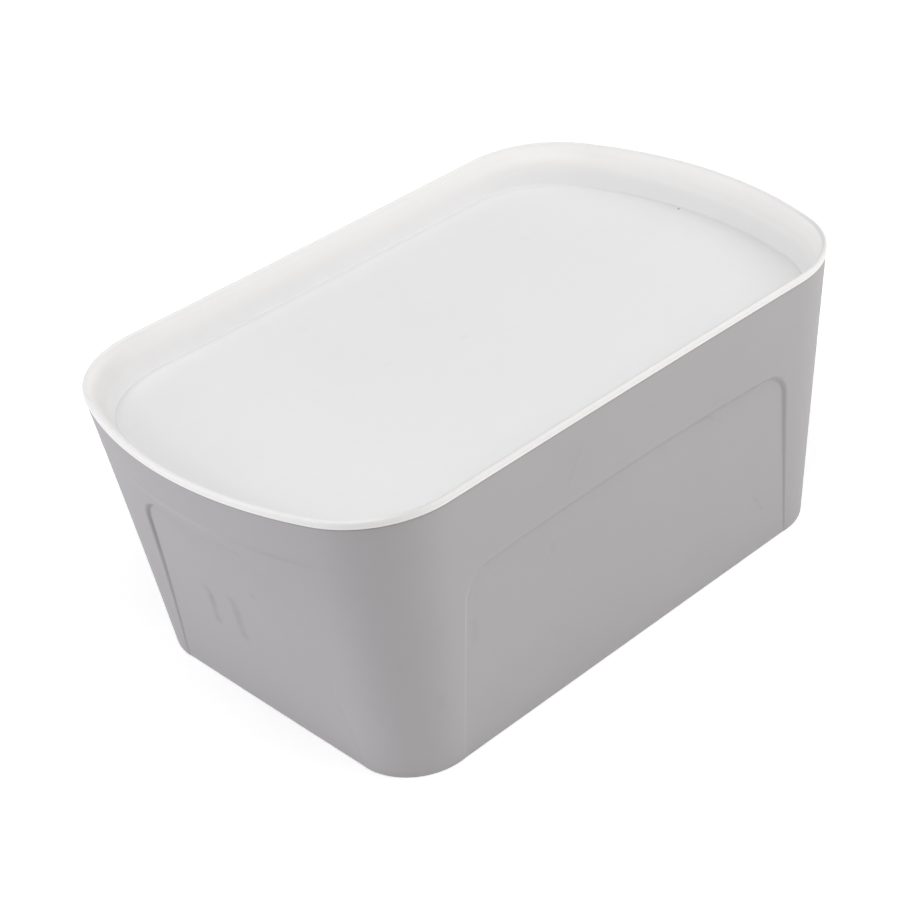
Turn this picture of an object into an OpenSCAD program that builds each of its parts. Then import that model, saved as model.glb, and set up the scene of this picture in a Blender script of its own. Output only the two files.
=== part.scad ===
// Cable management box: a tapered moulded tub and the tray lid that drops into its mouth.
// The long axis is X, the outlet notch is in the +Y wall and the box stands on Z = 0.
// Every wall is a straight loft between a plan outline at the base and one at the rim.

/* [Overall] */
// Length over the bowed ends of the rim
rim_length = 300; // [240:1:360]
// Width across the rim
rim_width = 190.2; // [150:0.2:230]
// Height of the closed box
box_height = 128.6; // [100:0.2:170]

/* [Plan outlines] */
// How far each end of the rim bows out past its corners
rim_bow = 25.5; // [18:0.5:34]
// Corner radius at the rim
rim_corner = 43.5; // [32:0.5:50]
// Inward draw of each long side of the rim at its middle
side_draw = 0.5; // [0:0.1:1.5]
// How far each end wall leans in on its way down to the base
end_lean = 26; // [12:0.25:34]
// How far each side wall leans in on its way down to the base
side_lean = 12.8; // [6:0.1:18]
// Bow of each end of the base
base_bow = 0.2; // [0.1:0.1:6]
// Corner radius at the base
base_corner = 26.5; // [15:0.1:38]

/* [Tub] */
// Wall thickness of the tub
wall = 1.8; // [1.4:0.1:3]
// How much thinner the wall is above the inner ledge
rebate = 0.6; // [0.2:0.1:0.8]
// Distance from the underside of the lid's tray down to the inner ledge
ledge_gap = 4.6; // [1:0.2:8]
// Thickness of the tub floor
floor_thickness = 2; // [1.2:0.1:4]
// Height of the standing ring under the floor
foot_height = 1.2; // [0.5:0.1:3]
// Width of the standing ring
foot_width = 4; // [2.5:0.1:8]
// Rounding of the bottom edge
base_edge = 0.5; // [0.3:0.1:1.5]
// Rounding where the inner walls meet the floor
floor_fillet = 4; // [1.5:0.5:8]
// Rounding of the tub's upper edge
rim_edge = 0.4; // [0.2:0.05:0.6]

/* [Recessed panels] */
// How far the panels are set back at the base
panel_foot_depth = 0.15; // [0.1:0.05:1]
// Width of the sloped step round the top of a panel
panel_step = 1.8; // [0.6:0.1:2.5]
// How far a side panel is set back into its wall at its top
side_panel_depth = 1.4; // [0.4:0.1:1.6]
// Distance from the tub's edge down to the top of a side panel
side_panel_drop = 37.9; // [26:0.1:70]
// Distance at the base from each end of a side panel to the start of the corner
side_panel_margin = 1.9; // [0:0.1:20]
// How much a side panel narrows at each end towards its top
side_panel_taper = 5.8; // [0:0.2:25]
// Bend of a side panel's upright edges, where 1 is straight
side_panel_bend = 1; // [1:0.1:2.5]
// Corner radius of a side panel
side_panel_corner = 12; // [5:0.5:25]
// How far an end panel is set back into its wall at its top
end_panel_depth = 1.6; // [0.4:0.1:1.8]
// Distance from the tub's edge down to the top of an end panel
end_panel_drop = 24.4; // [21:0.1:60]
// Distance at the base from each side of an end panel to the start of the corner
end_panel_margin = 0.3; // [0:0.1:20]
// How much an end panel narrows at each side towards its top
end_panel_taper = 21; // [0:0.1:30]
// Bend of an end panel's upright edges, where 1 is straight
end_panel_bend = 1.2; // [1:0.1:2.5]
// Corner radius of an end panel
end_panel_corner = 15; // [5:0.5:25]

/* [Cable outlet] */
// Width of the notch in the rear wall
outlet_width = 60; // [30:1:100]
// Height of the notch's sill above the top of the rear panel
outlet_rise = 4.5; // [2:0.5:10]
// Radius of the two lower corners of the notch
outlet_corner = 8; // [3:0.5:12]

/* [Lid] */
// Height of the lid's edge that shows above the tub
lid_edge = 3.2; // [2:0.1:5]
// Rounding of the lower edge of the lid's rim
lid_edge_radius = 0.3; // [0.1:0.1:0.4]
// How far the lid's edge stands out past the tub all round
lid_overhang = 0.3; // [0:0.05:1]
// Gap between the lid's neck and the inside of the tub's edge
lid_clearance = 0.3; // [0.2:0.05:0.6]
// How much wider the lid's crest is than the neck below it
crest_lap = 0.1; // [0:0.1:1]
// Depth of the tray below the crest
tray_depth = 17.4; // [14:0.1:19]
// Gap between the foot of the tray and the tub's wall at each end
tray_gap_end = 4.6; // [1:0.1:8]
// Gap between the foot of the tray and the tub's wall along each side
tray_gap_side = 1.46; // [0.6:0.02:4]
// How much flatter the ends of the tray floor are than the tub beside them
tray_bow_loss = 0.5; // [0:0.1:6]
// How much tighter the corners of the tray floor are than those of the rim
tray_corner_loss = 1; // [0:0.5:8]
// Depth at which the flared upper wall of the tray turns steeper
flare_depth = 7; // [5:0.5:10]
// Half height of the soft turn between the two slopes
flare_blend = 2; // [0.5:0.5:3]
// Share of the tray wall's inward slope that lies in its flared part
flare_share = 0.58; // [0.4:0.02:0.8]
// Rounding where the tray wall meets its floor
tray_fillet = 0.8; // [0.4:0.1:2]
// Wall and floor thickness of the lid
lid_wall = 1; // [0.8:0.1:1.4]

/* [Smoothness] */
// Segments in each half of a bowed end
end_steps = 6; // [4:1:10]
// Segments in each corner of the plan
corner_steps = 10; // [6:1:16]
// Segments in each half of a long side
side_steps = 4; // [2:1:8]
// Segments up a wall
wall_steps = 2; // [1:1:4]
// Segments in a quarter turn of an edge or fillet
edge_steps = 3; // [2:1:5]
// Segments across a recessed panel
panel_columns = 12; // [6:2:20]
// Segments up the straight part of a recessed panel
panel_rises = 6; // [3:1:10]
// Segments in an upper corner of a recessed panel
panel_corner_steps = 5; // [3:1:8]

/* [Hidden] */
$fn = 48;

grey_plastic = [0.67, 0.66, 0.665];
white_plastic = [0.93, 0.93, 0.93];

// Solids that cut run past the faces they cut by this much.
past = 3;
// Lean of the standing ring's inner face as a share of its height.
foot_draft = 0.5;
// Angles of a quarter turn, in even steps.
quarter_turn = [for (i = [0 : edge_steps]) 90 * i / edge_steps];

// Levels, from the lid's edge down.
tub_height = box_height - lid_edge;
end_panel_top = tub_height - end_panel_drop;
side_panel_top = tub_height - side_panel_drop;
outlet_sill = side_panel_top + outlet_rise;
tray_level = box_height - tray_depth - lid_wall;
ledge_level = tray_level - ledge_gap;
floor_level = foot_height + floor_thickness;

// The lid's neck and crest, from their fit in the tub's mouth.
mouth_wall = wall - rebate;
neck = lid_overhang + mouth_wall + lid_clearance;
crest_width = neck + crest_lap;
crest_radius = crest_width / 2;

// Mix of two values, points, lists or outlines.
function mix(a, b, share) = a * (1 - share) + b * share;

// Plan outline numbers: half length, half width, bow of the ends, corner radius, draw of the sides.
rim_plan = [rim_length / 2, rim_width / 2, rim_bow, rim_corner, side_draw];
base_plan = [rim_length / 2 - end_lean, rim_width / 2 - side_lean, base_bow, base_corner, 0];
// The tub beside the tray's underside, and the tray floor that stands clear of it.
beside_tray = mix(base_plan, rim_plan, tray_level / tub_height);
tray_inset = lid_overhang * tray_level / tub_height + mouth_wall + lid_wall;
tray_plan = [
    beside_tray[0] - tray_inset - tray_gap_end,
    beside_tray[1] - tray_inset - tray_gap_side,
    beside_tray[2] - tray_bow_loss,
    rim_corner - tray_corner_loss,
    side_draw
];

// Radius of the large arc that forms an end.
function end_radius(plan) = (plan[2] * plan[2] + plan[1] * plan[1]) / (2 * plan[2]);
// Centre of that arc, on the X axis.
function end_centre(plan) = plan[0] - end_radius(plan);
// Centre of the corner arc, tangent to the end and to the straight side.
function corner_y(plan) = plan[1] - plan[3];
function corner_x(plan) =
    end_centre(plan) + sqrt(pow(end_radius(plan) - plan[3], 2) - pow(corner_y(plan), 2));
// Direction from the end's centre to where the end turns into the corner.
function corner_start(plan) = atan2(corner_y(plan), corner_x(plan) - end_centre(plan));

// Point of the end arc at a share of its height in Y, moved inwards by inset.
function end_point(plan, share, inset) =
    let(radius = end_radius(plan) - inset)
    let(y = share * radius * sin(corner_start(plan)))
    [end_centre(plan) + sqrt(radius * radius - y * y), y];

// Point of the straight side at a share of its length, drawn in towards the middle.
function side_point(plan, share, inset) =
    [share * corner_x(plan), plan[1] - inset - plan[4] * (1 - share * share)];

// One quarter of an outline, from the middle of the +X end to the middle of the +Y side.
function quarter(plan, inset) = [
    for (i = [0 : end_steps - 1]) end_point(plan, i / end_steps, inset),
    for (i = [0 : corner_steps])
        let(angle = mix(corner_start(plan), 90, i / corner_steps))
        [
            corner_x(plan) + (plan[3] - inset) * cos(angle),
            corner_y(plan) + (plan[3] - inset) * sin(angle)
        ],
    for (i = [1 : side_steps - 1]) side_point(plan, 1 - i / side_steps, inset)
];

// The whole outline, anticlockwise, as four mirrored quarters.
function outline(plan, inset) =
    let(q = quarter(plan, inset))
    let(n = len(q))
    let(middle = side_point(plan, 0, inset))
    concat(
        q,
        [middle],
        [for (i = [n - 1 : -1 : 1]) [-q[i][0], q[i][1]]],
        [for (p = q) [-p[0], -p[1]]],
        [-middle],
        [for (i = [n - 1 : -1 : 1]) [q[i][0], -q[i][1]]]
    );

// Level ring of a plan outline, moved inwards by inset.
function level_ring(plan, inset, z) = [for (p = outline(plan, inset)) [p[0], p[1], z]];

// Ring of the tub's tapered walls at a height, moved inwards by inset.
function wall_ring(z, inset) =
    let(lower = outline(base_plan, inset))
    let(upper = outline(rim_plan, inset + lid_overhang))
    [for (p = mix(lower, upper, z / tub_height)) [p[0], p[1], z]];

// Rings evenly spaced up the walls between two heights, without the two end rings.
function wall_rings_between(low, high, inset) =
    [for (i = [1 : 1 : wall_steps - 1]) wall_ring(mix(low, high, i / wall_steps), inset)];

// Two triangles that fill a four-sided face.
function quad(a, b, c, d) = [[a, b, c], [a, c, d]];

// Closed solid through a stack of rings, from the lowest cap to the highest along its skin.
module skin(rings) {
    n = len(rings[0]);
    m = len(rings);
    sides = [
        for (k = [0 : m - 2])
            for (i = [0 : n - 1])
                let(j = (i + 1) % n)
                each quad(k * n + i, (k + 1) * n + i, (k + 1) * n + j, k * n + j)
    ];
    first_cap = [for (i = [0 : n - 1]) i];
    last_cap = [for (i = [n - 1 : -1 : 0]) (m - 1) * n + i];
    polyhedron([for (ring = rings) each ring], concat([first_cap], sides, [last_cap]), convexity = 10);
}

// Point of the +Y wall at a place along it and a height, moved inwards by inset.
function rear_point(x, z, inset) =
    let(share = z / tub_height)
    let(s = x / mix(corner_x(base_plan), corner_x(rim_plan), share))
    let(lower = side_point(base_plan, s, inset))
    let(upper = side_point(rim_plan, s, inset + lid_overhang))
    [x, mix(lower, upper, share)[1], z];

// Point of the +X wall at a place across it and a height, moved inwards by inset.
function right_point(y, z, inset) =
    let(share = z / tub_height)
    let(rim_inset = inset + lid_overhang)
    let(reach = mix(end_point(base_plan, 1, inset), end_point(rim_plan, 1, rim_inset), share)[1])
    let(lower = end_point(base_plan, y / reach, inset))
    let(upper = end_point(rim_plan, y / reach, rim_inset))
    [mix(lower, upper, share)[0], y, z];

// Panel numbers: half width at the base, top, taper of each upright edge, its bend, corner radius
// and depth at the top.
side_panel = [
    corner_x(base_plan) - side_panel_margin,
    side_panel_top,
    side_panel_taper,
    side_panel_bend,
    side_panel_corner,
    side_panel_depth
];
end_panel = [
    end_point(base_plan, 1, 0)[1] - end_panel_margin,
    end_panel_top,
    end_panel_taper,
    end_panel_bend,
    end_panel_corner,
    end_panel_depth
];

// Half width of a panel at a height: tapered sides with an arc at the upper corners.
function panel_half(panel, z) =
    let(side = panel[0] - panel[2] * pow(max(z, 0) / panel[1], panel[3]))
    let(rise = max(0, z - (panel[1] - panel[4])))
    side - panel[4] + sqrt(max(0, panel[4] * panel[4] - rise * rise));

// Heights of the rows of a panel: an open foot, the upright edges, then the corner arc.
function panel_rows(panel) =
    let(corner_level = panel[1] - panel[4])
    [
        -past,
        for (i = [0 : panel_rises]) corner_level * i / panel_rises,
        for (i = [1 : panel_corner_steps])
            corner_level + panel[4] * sin(90 * i / panel_corner_steps)
    ];

// Grid of points over a panel in a wall whose face lies at inset, on the panel itself or outside
// the wall. The window widens evenly from one to the other, and the middle of the step that this
// leaves in the wall follows the panel's outline.
function panel_grid(panel, on_end, outside, inset) = [
    for (z = panel_rows(panel))
        let(share = max(z, 0) / panel[1])
        let(depth = mix(panel_foot_depth, panel[5], share))
        let(spread = (outside ? past + depth / 2 : -depth / 2) * panel_step / panel[5])
        let(reach = panel_half(panel, z) + spread)
        let(level = z + spread * share)
        let(sunk = inset + (outside ? -past : depth))
        for (i = [0 : panel_columns])
            let(across = reach * (2 * i / panel_columns - 1))
            on_end ? right_point(across, level, sunk) : rear_point(-across, level, sunk)
];

// Solid that sinks a panel into a wall whose face lies at inset.
module panel_sink(panel, on_end, inset) {
    w = panel_columns + 1;
    h = len(panel_rows(panel));
    function at(layer, row, column) = (layer * h + row) * w + column;
    faces = [
        for (r = [0 : h - 2])
            for (c = [0 : w - 2])
                each concat(
                    quad(at(0, r, c), at(0, r + 1, c), at(0, r + 1, c + 1), at(0, r, c + 1)),
                    quad(at(1, r, c), at(1, r, c + 1), at(1, r + 1, c + 1), at(1, r + 1, c))
                ),
        for (r = [0 : h - 2])
            each concat(
                quad(at(0, r, 0), at(1, r, 0), at(1, r + 1, 0), at(0, r + 1, 0)),
                quad(at(0, r, w - 1), at(0, r + 1, w - 1), at(1, r + 1, w - 1), at(1, r, w - 1))
            ),
        for (c = [0 : w - 2])
            each concat(
                quad(at(0, 0, c), at(0, 0, c + 1), at(1, 0, c + 1), at(1, 0, c)),
                quad(at(0, h - 1, c), at(1, h - 1, c), at(1, h - 1, c + 1), at(0, h - 1, c + 1))
            )
    ];
    points = concat(panel_grid(panel, on_end, true, inset), panel_grid(panel, on_end, false, inset));
    polyhedron(points, faces, convexity = 4);
}

// The four sinks round the tub, for walls whose face lies at inset.
module panel_sinks(inset) {
    for (turn = [0, 180])
        rotate([0, 0, turn]) {
            panel_sink(side_panel, false, inset);
            panel_sink(end_panel, true, inset);
        }
}

// Outside of the tub with its rounded edges, solid inside.
module tub_outside() {
    edge_top = tub_height - rim_edge;
    skin(concat(
        [for (a = quarter_turn) wall_ring(base_edge * (1 - cos(a)), base_edge * (1 - sin(a)))],
        wall_rings_between(base_edge, edge_top, 0),
        [for (a = quarter_turn) wall_ring(edge_top + rim_edge * sin(a), rim_edge * (1 - cos(a)))]
    ));
}

// Hollow of the tub, with a fillet round its floor and a ledge below the lid's tray.
module tub_hollow() {
    skin(concat(
        [
            for (a = quarter_turn)
                wall_ring(floor_level + floor_fillet * (1 - cos(a)), wall + floor_fillet * (1 - sin(a)))
        ],
        wall_rings_between(floor_level + floor_fillet, ledge_level, wall),
        [
            wall_ring(ledge_level, wall),
            wall_ring(ledge_level + rebate, mouth_wall),
            wall_ring(tub_height + past, mouth_wall)
        ]
    ));
}

// Shallow hollow under the floor that leaves the standing ring.
module foot_hollow() {
    skin([
        wall_ring(-past, foot_width),
        wall_ring(foot_height, foot_width + foot_height * foot_draft)
    ]);
}

// Notch through the rear wall, open to the rim.
module outlet_cut() {
    half = outlet_width / 2;
    low_half = half - outlet_corner;
    corner_level = outlet_sill + outlet_corner;
    reach = side_lean + wall + 2 * past;
    translate([0, rim_plan[1] + past, 0])
        rotate([90, 0, 0])
            linear_extrude(reach)
                union() {
                    translate([-half, corner_level])
                        square([outlet_width, tub_height + past - corner_level]);
                    translate([-low_half, outlet_sill])
                        square([2 * low_half, 2 * outlet_corner]);
                    for (side = [-1, 1])
                        translate([side * low_half, corner_level])
                            circle(outlet_corner);
                }
}

// Grey tub: a tapered shell of even thickness with a recessed panel in each wall.
module tub() {
    color(grey_plastic)
        difference() {
            tub_outside();
            panel_sinks(0);
            difference() {
                tub_hollow();
                panel_sinks(wall);
            }
            foot_hollow();
            outlet_cut();
        }
}

// Share of the tray wall's inward slope that is done at a depth below the crest: two straight
// slopes that turn into each other along a parabola.
function slope_share(depth) =
    let(upper = flare_share / (flare_depth - crest_radius))
    let(lower = (1 - flare_share) / (tray_depth - flare_depth))
    let(below = depth - flare_depth)
    let(turn = pow(max(0, flare_blend - abs(below)), 2) / (4 * flare_blend))
    flare_share + (below < 0 ? upper : lower) * below + (lower - upper) * turn;

// Ring of the tray wall's inner face at a depth, moved inwards by inset.
function tray_ring(depth, inset) =
    let(upper = outline(rim_plan, crest_width + inset))
    let(lower = outline(tray_plan, inset))
    [for (p = mix(upper, lower, slope_share(depth))) [p[0], p[1], box_height - depth]];

// White lid: a tray with a crested rim that rests on the tub's edge.
module lid() {
    outer_fillet = tray_fillet + lid_wall;
    turn_depths = [flare_depth - flare_blend, flare_depth, flare_depth + flare_blend];
    color(white_plastic)
        skin([
            // Underside of the tray, its rounded edge and the outer face of its wall.
            for (a = quarter_turn)
                tray_ring(
                    tray_depth + lid_wall - outer_fillet * (1 - cos(a)),
                    outer_fillet * (1 - sin(a)) - lid_wall
                ),
            for (i = [2, 1, 0]) tray_ring(turn_depths[i], -lid_wall),
            // Neck in the tub's mouth, the seat on the tub's edge and the rounded crest.
            level_ring(rim_plan, neck, tub_height),
            for (a = quarter_turn)
                level_ring(
                    rim_plan,
                    lid_edge_radius * (1 - sin(a)),
                    tub_height + lid_edge_radius * (1 - cos(a))
                ),
            for (a = quarter_turn)
                level_ring(rim_plan, crest_radius * (1 - cos(a)), box_height - crest_radius * (1 - sin(a))),
            for (i = [edge_steps - 1 : -1 : 1])
                let(a = quarter_turn[i])
                level_ring(rim_plan, crest_radius * (1 + cos(a)), box_height - crest_radius * (1 - sin(a))),
            // Inner face of the tray down to its floor.
            tray_ring(crest_radius, 0),
            for (depth = turn_depths) tray_ring(depth, 0),
            for (i = [edge_steps : -1 : 0])
                let(a = quarter_turn[i])
                tray_ring(tray_depth - tray_fillet * (1 - cos(a)), tray_fillet * (1 - sin(a)))
        ]);
}

tub();
lid();
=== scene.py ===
"""Cable management box: the moulded tub and its tray lid, with their finishes, stage and camera.

A quarter of each piece is made, mirrored and closed. The tub's wall starts as a flat pattern that is
bent round the plan, and the lid as a section that is carried round it. Everything here is in metres,
with +Z up.
"""

import math
from collections import namedtuple

import bmesh
import bpy
from bpy.props import FloatProperty, FloatVectorProperty, IntProperty, PointerProperty
from mathutils import Matrix, Vector


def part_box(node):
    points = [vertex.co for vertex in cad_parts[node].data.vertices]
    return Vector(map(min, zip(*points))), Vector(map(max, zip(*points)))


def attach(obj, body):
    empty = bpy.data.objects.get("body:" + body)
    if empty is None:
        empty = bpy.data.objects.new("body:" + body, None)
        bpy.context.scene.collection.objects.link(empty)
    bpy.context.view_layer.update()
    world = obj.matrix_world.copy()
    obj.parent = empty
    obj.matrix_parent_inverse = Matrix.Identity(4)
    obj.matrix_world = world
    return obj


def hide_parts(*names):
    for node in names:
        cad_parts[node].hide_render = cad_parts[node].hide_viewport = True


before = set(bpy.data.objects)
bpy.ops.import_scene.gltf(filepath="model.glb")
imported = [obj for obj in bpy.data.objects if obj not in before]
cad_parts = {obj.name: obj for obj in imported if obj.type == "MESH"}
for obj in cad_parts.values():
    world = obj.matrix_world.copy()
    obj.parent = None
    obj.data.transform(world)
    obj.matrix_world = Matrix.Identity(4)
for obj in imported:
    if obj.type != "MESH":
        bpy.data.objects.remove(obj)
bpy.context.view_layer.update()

bl_info = {
    "name": "Cable management box",
    "version": (1, 0, 0),
    "blender": (4, 5, 0),
    "location": "3D View > Sidebar > Cable box",
    "description": "Builds a moulded cable box with its tray lid, finishes and stage",
    "category": "Object",
}

TUB_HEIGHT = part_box("tub")[1].z
RIM_HALF_LENGTH, RIM_HALF_WIDTH, BOX_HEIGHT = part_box("lid")[1]
# Points closer than this are one point.
MERGE = 1e-6
# Faces that meet at more than this angle, in degrees, meet in a sharp edge.
SHARP_ANGLE = 50


def length(name, description, default):
    """A property that holds a length in metres."""
    return FloatProperty(name=name, description=description, default=default, unit="LENGTH", precision=5)


def share(name, description, default):
    """A property that holds a plain number."""
    return FloatProperty(name=name, description=description, default=default, precision=3)


def number(name, description, default):
    """A property that holds a number of faces or segments."""
    return IntProperty(name=name, description=description, default=default, min=1)


def colour(name, description, default):
    """A property that holds a linear colour."""
    return FloatVectorProperty(
        name=name, description=description, default=default, subtype="COLOR", size=3, min=0, max=1
    )


class PlanSizes(bpy.types.PropertyGroup):
    """Outlines that the walls run between."""

    rim_bow: length("Rim bow", "How far each end of the rim bows out past its corners", 0.0255)
    rim_corner: length("Rim corner", "Corner radius at the rim", 0.0435)
    side_draw: length("Side draw", "Inward draw of each long side of the rim at its middle", 0.0005)
    end_lean: length("End lean", "How far each end wall leans in towards the base", 0.026)
    side_lean: length("Side lean", "How far each side wall leans in towards the base", 0.0128)
    base_bow: length("Base bow", "Bow of each end of the base", 0.0002)
    base_corner: length("Base corner", "Corner radius at the base", 0.0265)
    overhang: length("Overhang", "How far the lid's edge stands out past the tub", 0.0003)
    end_columns: number("End columns", "Columns of faces in half an end", 16)
    corner_columns: number("Corner columns", "Columns of faces in a corner", 24)
    side_columns: number("Side columns", "Columns of faces in half a side", 12)


class TubSizes(bpy.types.PropertyGroup):
    """Section of the tub's wall, floor and standing ring."""

    wall: length("Wall", "Wall thickness", 0.0018)
    mouth_wall: length("Mouth wall", "Wall thickness above the inner ledge", 0.0012)
    ledge_height: length("Ledge height", "Height of the inner ledge", 0.1056)
    floor_height: length("Floor height", "Height of the inner floor", 0.0032)
    floor_fillet: length("Floor fillet", "Rounding where the walls meet the floor", 0.004)
    foot_height: length("Foot height", "Height of the standing ring", 0.0012)
    foot_width: length("Foot width", "Width of the standing ring", 0.004)
    foot_draft: length("Foot draft", "Lean of the standing ring's inner face", 0.0006)
    base_edge: length("Base edge", "Rounding of the bottom edge", 0.0005)
    rim_edge: length("Rim edge", "Rounding of the upper edge", 0.0004)
    row_pitch: length("Row pitch", "Distance between rows of faces up the wall", 0.008)
    base_edge_rows: number("Base edge rows", "Rows of faces in the bottom edge's rounding", 5)
    rim_edge_rows: number("Rim edge rows", "Rows of faces in the upper edge's rounding", 4)
    fillet_rows: number("Fillet rows", "Rows of faces in the floor's fillet", 6)
    ledge_bead: length("Ledge bead", "Height of the faint bead that the ledge leaves on the ends", 0.00015)
    ledge_bead_width: length("Ledge bead width", "Half width of that bead", 0.0015)
    bead_rows: number("Bead rows", "Rows of faces above and below the bead's middle", 5)
    outlet_width: length("Outlet width", "Width of the notch in the rear wall", 0.06)
    outlet_sill: length("Outlet sill", "Height of the bottom of the notch", 0.092)
    outlet_corner: length("Outlet corner", "Radius of the notch's lower corners", 0.008)
    outlet_turns: number("Outlet turns", "Segments in each of those corners", 8)


class PanelSizes(bpy.types.PropertyGroup):
    """Recessed panels in the tub's walls."""

    foot_depth: length("Foot depth", "How far the panels are set back at the base", 0.00015)
    foot_step: length("Foot step", "Width of the step at the base", 0.001)
    support: length("Support", "Width of the flat border on each side of a step", 0.0004)
    step_loops: number("Step loops", "Loops of faces in the step", 8)
    side_depth: length("Side depth", "How far a side panel is set back at its top", 0.0014)
    side_step: length("Side step", "Width of the rounded step round a side panel", 0.0026)
    side_skew: share("Side skew", "Bend of a side panel's step, steeper at its outer edge below 1", 0.75)
    side_arch: length("Side arch", "Rise of a side panel's upper edge at its middle", 0.002)
    side_top: length("Side top", "Height of the top of a side panel at its corners", 0.087)
    side_margin: length("Side margin", "Distance at the base from a side panel to the corner", 0.0019)
    side_taper: length("Side taper", "How much a side panel narrows at each end", 0.0058)
    side_bend: share("Side bend", "Bend of a side panel's upright edges", 1.0)
    side_corner: length("Side corner", "Corner radius of a side panel", 0.012)
    end_depth: length("End depth", "How far an end panel is set back at its top", 0.0016)
    end_step: length("End step", "Width of the rounded step round an end panel", 0.0024)
    end_skew: share("End skew", "Bend of an end panel's step, steeper at its inner edge above 1", 1.0)
    end_arch: length("End arch", "Rise of an end panel's upper edge at its middle", 0.0)
    end_top: length("End top", "Height of the top of an end panel", 0.0985)
    end_margin: length("End margin", "Distance at the base from an end panel to the corner", 0.0003)
    end_taper: length("End taper", "How much an end panel narrows at each side", 0.0197)
    end_bend: share("End bend", "Bend of an end panel's upright edges", 1.2)
    end_corner: length("End corner", "Corner radius of an end panel", 0.0135)
    rises: number("Rises", "Segments up a panel's upright edge", 16)
    corner_turns: number("Corner turns", "Segments in a panel's corner", 14)
    arch_turns: number("Arch turns", "Segments along half a panel's upper edge", 10)


class LidSizes(bpy.types.PropertyGroup):
    """Section of the lid."""

    neck: length("Neck", "Inset of the neck that drops into the tub", 0.0018)
    crest: length("Crest", "Width of the rounded crest", 0.0019)
    edge_radius: length("Edge radius", "Rounding of the lower edge of the rim", 0.0003)
    parting: length("Parting", "Height of the parting line above the rim's lower edge", 0.001)
    parting_width: length("Parting width", "Width of the groove at the parting line", 0.0003)
    parting_depth: length("Parting depth", "Depth of the groove at the parting line", 0.000075)
    tray_depth: length("Tray depth", "Depth of the tray below the crest", 0.0174)
    tray_end: length("Tray end", "Half length of the tray's floor", 0.13978)
    tray_side: length("Tray side", "Half width of the tray's floor", 0.08962)
    tray_bow: length("Tray bow", "Bow of each end of the tray's floor", 0.02193)
    tray_corner: length("Tray corner", "Corner radius of the tray's floor", 0.0425)
    flare_depth: length("Flare depth", "Depth at which the flared wall turns steeper", 0.007)
    flare_blend: length("Flare blend", "Half height of the soft turn between the slopes", 0.002)
    flare_share: share("Flare share", "Share of the wall's slope in its flared part", 0.58)
    tray_fillet: length("Tray fillet", "Rounding where the wall meets the floor", 0.0008)
    wall: length("Wall", "Wall and floor thickness", 0.001)
    floor_border: length("Floor border", "Width of the row of faces along the floor's edge", 0.004)
    turns: number("Turns", "Segments in each quarter turn of the section", 6)
    blend_rows: number("Blend rows", "Rows of faces in each half of the soft turn", 4)


class StageSizes(bpy.types.PropertyGroup):
    """Camera, lamps and floor."""

    lens: share("Lens", "Focal length on a 36 mm sensor", 86.909)
    azimuth: share("Azimuth", "Direction of the camera round the box, in degrees", -40.162)
    elevation: share("Elevation", "Height of the camera above the horizon, in degrees", 32.891)
    roll: share("Roll", "Turn of the camera about its view, in degrees", -7.06)
    distance: length("Distance", "Distance from the camera to its target", 0.91191)
    target: length("Target", "Height of the camera's target above the floor", 0.05)
    shift_x: share("Shift X", "Sideways shift of the frame", -0.035601)
    shift_y: share("Shift Y", "Upward shift of the frame", 0.021113)
    world_level: share("World level", "Strength of the even light from all round", 0.32)
    floor_size: length("Floor size", "Side of the square floor", 8.0)
    floor_colour: colour("Floor colour", "Colour of the floor", (0.95, 0.95, 0.95))
    floor_lift: share("Floor lift", "Extra level of the floor as the camera sees it", 0.35)
    far_lift: share("Far lift", "Further level of the floor far from the box as the camera sees it", 0.6)
    far_start: length("Far start", "Distance from the box where the further level starts", 0.5)
    far_full: length("Far full", "Distance from the box where the further level is full", 2.0)


class Finishes(bpy.types.PropertyGroup):
    """Colours, grain and wear of the two plastics, and the light and shade painted into their colours."""

    tub_colour: colour("Tub colour", "Grey of the tub", (0.441, 0.427, 0.434))
    # Painted shade in the gap under the lid's edge: its warm dark colour and how much of the grey it covers.
    gap_shade_colour: colour("Gap colour", "Dust in the gap under the lid's edge", (0.2, 0.15, 0.12))
    gap_shade_share: share("Gap share", "How much of that dust covers the grey", 0.35)
    lid_colour: colour("Lid colour", "White of the lid's floor", (0.817, 0.817, 0.824))
    # Painted light: the flared wall and the wall below it are lighter than the floor, and the flare is also
    # warmer.
    lit_flare_colour: colour("Flare colour", "Warm white of the tray's flared wall", (0.876, 0.863, 0.845))
    lit_wall_colour: colour("Wall colour", "White of the tray's wall below the flare", (0.853, 0.843, 0.841))
    # Painted light: the outer edge is lighter still, a painted glow.
    lit_band_colour: colour("Band colour", "White of the lid's outer edge", (0.94, 0.925, 0.912))
    # Painted shade: the crest is darker than the outer edge, which damps its highlight.
    shaded_crest_colour: colour("Crest colour", "White of the top of the lid's rim", (0.86, 0.852, 0.845))
    # Painted shade in the crease round the tray's floor.
    crease_shade_colour: colour("Crease colour", "Dust in the crease round the tray's floor", (0.73, 0.725, 0.725))
    speck_colour: colour("Speck colour", "Dark specks on the tray's floor", (0.06, 0.055, 0.05))
    cloud_size: length("Cloud size", "Size of the broad unevenness of the pigment", 0.055)
    mottle_size: length("Mottle size", "Size of the small unevenness of the pigment", 0.008)
    grain_size: length("Grain size", "Size of the moulded grain", 0.0007)
    grain_depth: length("Grain depth", "Depth of the moulded grain", 0.00001)
    wave_size: length("Wave size", "Size of the slight waves in the walls", 0.03)
    wave_depth: length("Wave depth", "Depth of the slight waves in the walls", 0.00006)
    tub_roughness: share("Tub roughness", "Mean roughness of the tub", 0.5)
    lid_roughness: share("Lid roughness", "Mean roughness of the lid", 0.45)


# ---------------------------------------------------------------- plan outlines


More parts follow.
